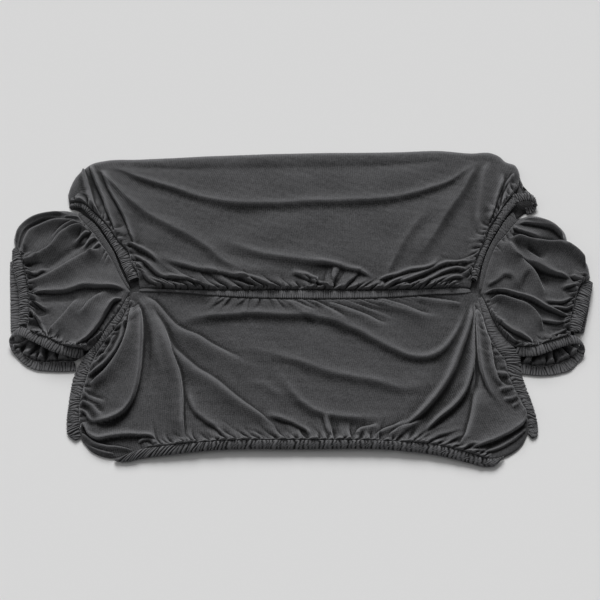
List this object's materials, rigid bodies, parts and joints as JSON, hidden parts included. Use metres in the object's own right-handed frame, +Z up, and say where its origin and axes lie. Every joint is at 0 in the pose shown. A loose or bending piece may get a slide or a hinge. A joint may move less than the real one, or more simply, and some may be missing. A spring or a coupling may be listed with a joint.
{
  "type": "sofa slipcover",
  "caption": "Stretch-knit slipcover for a small sofa, laid out empty: back pouch, seat and skirt panel and arm pouches, edged with shirred elastic bands.",
  "frame": {"origin": "on the surface the cover lies on, below the middle of the seam between back and seat", "axes": "+X to the right as the sitter-side faces up, along the greatest width; +Y towards the back pouch; +Z up from the surface"},
  "size_m": [1.7332, 1.0906, 0.0416],
  "materials": {
    "knit": "matte brushed stretch knit, charcoal",
    "shirred_band": "matte knit gathered over elastic, charcoal",
    "hem_tape": "matte knit, folded and stitched, charcoal"
  },
  "bodies": {
    "root": {"back_front_panel": "knit", "back_rear_panel": "knit", "back_band_left": "shirred_band", "back_band_right": "shirred_band", "seat_panel": "knit", "seat_seam_band": "shirred_band", "seat_band_left": "shirred_band", "seat_band_right": "shirred_band", "seat_front_band": "shirred_band", "arm_left_upper_panel": "knit", "arm_left_lower_panel": "knit", "arm_left_slit_tape": "hem_tape", "arm_left_outer_band": "shirred_band", "arm_left_under_band": "shirred_band", "arm_left_mouth_band": "shirred_band", "arm_right_upper_panel": "knit", "arm_right_lower_panel": "knit", "arm_right_slit_tape": "hem_tape", "arm_right_outer_band": "shirred_band", "arm_right_under_band": "shirred_band", "arm_right_mouth_band": "shirred_band"}
  },
  "joints": []
}
